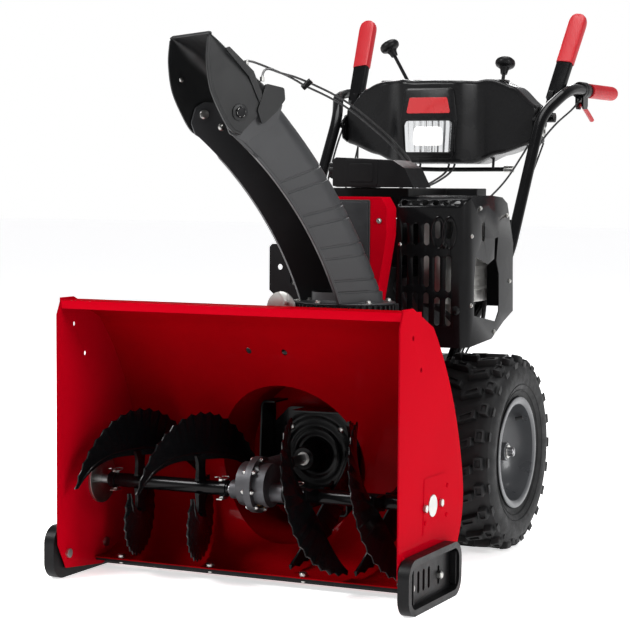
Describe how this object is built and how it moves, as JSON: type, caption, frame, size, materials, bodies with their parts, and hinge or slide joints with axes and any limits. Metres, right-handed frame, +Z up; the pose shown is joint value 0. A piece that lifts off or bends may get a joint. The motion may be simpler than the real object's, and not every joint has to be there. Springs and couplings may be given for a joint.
{
  "type": "two_stage_snowblower",
  "caption": "Walk-behind two stage snowblower with ribbon auger, four blade impeller, turning chute with tilting deflector, wheels, engine and control panel",
  "frame": {"origin": "on the ground under the middle of the machine (bounding box bottom centre)", "axes": "+Z up, -Y ahead of the machine (intake side), +X the operator's left"},
  "size_m": [0.759, 1.4398, 1.1674],
  "materials": {
    "housing_red": "gloss",
    "grip_red": "satin",
    "black_steel": "gloss",
    "black_plastic": "satin",
    "chute_grey": "matte",
    "zinc_steel": "satin",
    "cast_alloy": "satin",
    "bronze": "satin",
    "rim_grey": "gloss",
    "tyre_rubber": "matte",
    "belt_rubber": "matte",
    "lamp_lens": "clear"
  },
  "bodies": {
    "machine": {"housing_wrapper": "housing_red", "side_plate_left": "housing_red", "side_plate_right": "housing_red", "impeller_drum": "housing_red", "shave_plate": "black_steel", "skid_shoe_left": "black_plastic", "skid_shoe_right": "black_plastic", "housing_bolts": "zinc_steel", "bearings": "zinc_steel", "gearbox_case_left": "cast_alloy", "gearbox_case_right": "cast_alloy", "auger_belt": "belt_rubber", "chute_bracket": "black_steel", "belt_cover": "housing_red", "frame_box": "black_steel", "engine_block": "cast_alloy", "recoil_cover": "black_plastic", "fuel_tank": "black_plastic", "muffler": "cast_alloy", "muffler_guard": "black_steel", "air_box": "black_plastic", "handle_left": "black_steel", "handle_right": "black_steel", "dash_panel": "black_plastic", "headlight": "lamp_lens", "grips": "grip_red", "control_cables": "black_plastic"},
    "auger": {"auger_shaft": "zinc_steel", "auger_left": "black_steel", "auger_right": "black_steel", "shear_pins": "zinc_steel", "worm_wheel": "bronze"},
    "impeller_rotor": {"impeller_shaft": "zinc_steel", "impeller": "black_steel", "impeller_pulley": "zinc_steel"},
    "crank": {"engine_pulley": "zinc_steel"},
    "wheel_left": {"axle_left": "zinc_steel", "rim_left": "rim_grey", "tyre_left": "tyre_rubber"},
    "wheel_right": {"axle_right": "zinc_steel", "rim_right": "rim_grey", "tyre_right": "tyre_rubber"},
    "drive_plate": {"drive_disc": "zinc_steel"},
    "hex_drive": {"hex_shaft": "zinc_steel"},
    "friction_roller": {"friction_wheel": "belt_rubber"},
    "chute_assembly": {"chute_ring": "black_plastic", "chute": "chute_grey", "deflector_pins": "zinc_steel"},
    "deflector_hood": {"deflector": "chute_grey"},
    "chute_crank": {"chute_worm": "zinc_steel"},
    "starter": {"starter_grip": "black_plastic"},
    "tank_cap": {"fuel_cap": "black_plastic"},
    "choke": {"choke_knob": "black_plastic"},
    "clutch_left": {"lever_left": "grip_red"},
    "clutch_right": {"lever_right": "grip_red"},
    "trigger_l": {"trigger_left": "grip_red"},
    "trigger_r": {"trigger_right": "grip_red"},
    "speed_lever": {"shift_lever": "black_plastic"},
    "chute_gimbal": {"joystick_gimbal": "zinc_steel"},
    "chute_stick": {"joystick": "black_plastic"}
  },
  "joints": [
    {"name": "auger_spin", "type": "hinge", "parent": "machine", "child": "auger", "pos_m": [0, -0.556, 0.177], "axis": [1, 0, 0], "continuous": true},
    {"name": "impeller_spin", "type": "hinge", "parent": "machine", "child": "impeller_rotor", "pos_m": [0, -0.312, 0.215], "axis": [0, 1, 0], "continuous": true},
    {"name": "crank_spin", "type": "hinge", "parent": "machine", "child": "crank", "pos_m": [0, -0.212, 0.5], "axis": [0, 1, 0], "continuous": true},
    {"name": "wheel_left_spin", "type": "hinge", "parent": "machine", "child": "wheel_left", "pos_m": [0.15, -0.004, 0.205], "axis": [1, 0, 0], "continuous": true},
    {"name": "wheel_right_spin", "type": "hinge", "parent": "machine", "child": "wheel_right", "pos_m": [-0.15, -0.004, 0.205], "axis": [1, 0, 0], "continuous": true},
    {"name": "drive_disc_spin", "type": "hinge", "parent": "machine", "child": "drive_plate", "pos_m": [0, -0.152, 0.3], "axis": [0, 1, 0], "continuous": true},
    {"name": "hex_shaft_spin", "type": "hinge", "parent": "machine", "child": "hex_drive", "pos_m": [0, -0.075, 0.3], "axis": [1, 0, 0], "continuous": true},
    {"name": "chute_rotate", "type": "hinge", "parent": "machine", "child": "chute_assembly", "pos_m": [0.084, -0.34, 0.52], "axis": [0, 0, 1], "range_deg": [-55, 120], "deforming": ["control_cables"]},
    {"name": "chute_worm_spin", "type": "hinge", "parent": "machine", "child": "chute_crank", "pos_m": [-0.029, -0.34, 0.52], "axis": [0, 1, 0], "range_deg": [-5800, 5800]},
    {"name": "deflector_tilt", "type": "hinge", "parent": "chute_assembly", "child": "deflector_hood", "pos_m": [-0.07593, -0.5771, 0.895], "axis": [0.829, -0.5592, 0], "range_deg": [0, 38], "deforming": ["control_cables"]},
    {"name": "friction_wheel_slide", "type": "slide", "parent": "hex_drive", "child": "friction_roller", "axis": [1, 0, 0], "range_m": [-0.075, 0.04]},
    {"name": "speed_lever_swing", "type": "hinge", "parent": "machine", "child": "speed_lever", "pos_m": [0.134, 0.373, 0.905], "axis": [1, 0, 0], "range_deg": [-14, 14]},
    {"name": "gimbal_swing", "type": "hinge", "parent": "machine", "child": "chute_gimbal", "pos_m": [-0.062, 0.388, 0.95], "axis": [0, 1, 0], "range_deg": [-30, 30]},
    {"name": "stick_swing", "type": "hinge", "parent": "chute_gimbal", "child": "chute_stick", "pos_m": [-0.062, 0.388, 0.95], "axis": [0.866, 0, 0.5], "range_deg": [-8, 8]},
    {"name": "clutch_left_press", "type": "hinge", "parent": "machine", "child": "clutch_left", "pos_m": [0.244, 0.406, 0.918], "axis": [1, 0, 0], "range_deg": [-12, 0], "stiffness_Nm_per_rad": 2, "springref_deg": 12.03},
    {"name": "clutch_right_press", "type": "hinge", "parent": "machine", "child": "clutch_right", "pos_m": [-0.244, 0.406, 0.918], "axis": [1, 0, 0], "range_deg": [-12, 0], "stiffness_Nm_per_rad": 2, "springref_deg": 12.03},
    {"name": "steering_left_squeeze", "type": "hinge", "parent": "machine", "child": "trigger_l", "pos_m": [0.286, 0.531, 0.952], "axis": [1, 0, 0], "range_deg": [0, 12], "stiffness_Nm_per_rad": 0.6, "springref_deg": -20.05},
    {"name": "steering_right_squeeze", "type": "hinge", "parent": "machine", "child": "trigger_r", "pos_m": [-0.286, 0.531, 0.952], "axis": [1, 0, 0], "range_deg": [0, 12], "stiffness_Nm_per_rad": 0.6, "springref_deg": -20.05},
    {"name": "starter_pull", "type": "slide", "parent": "machine", "child": "starter", "axis": [0, 1, 0], "range_m": [0, 0.35], "stiffness_N_per_m": 20, "springref_m": -0.1},
    {"name": "fuel_cap_turn", "type": "hinge", "parent": "machine", "child": "tank_cap", "pos_m": [-0.05, 0.048, 0.756], "axis": [0, 0, 1], "range_deg": [0, 90]},
    {"name": "choke_turn", "type": "hinge", "parent": "machine", "child": "choke", "pos_m": [-0.04, -0.127, 0.792], "axis": [1, 0, 0], "range_deg": [0, 90]}
  ],
  "couplings": [
    {"joint": "impeller_spin", "follows": "auger_spin", "ratio": 10},
    {"joint": "chute_worm_spin", "follows": "chute_rotate", "ratio": 48},
    {"joint": "gimbal_swing", "follows": "chute_rotate", "ratio": -0.2},
    {"joint": "stick_swing", "follows": "deflector_tilt", "ratio": 0.2},
    {"joint": "friction_wheel_slide", "follows": "speed_lever_swing", "m_per_rad": 0.16}
  ]
}
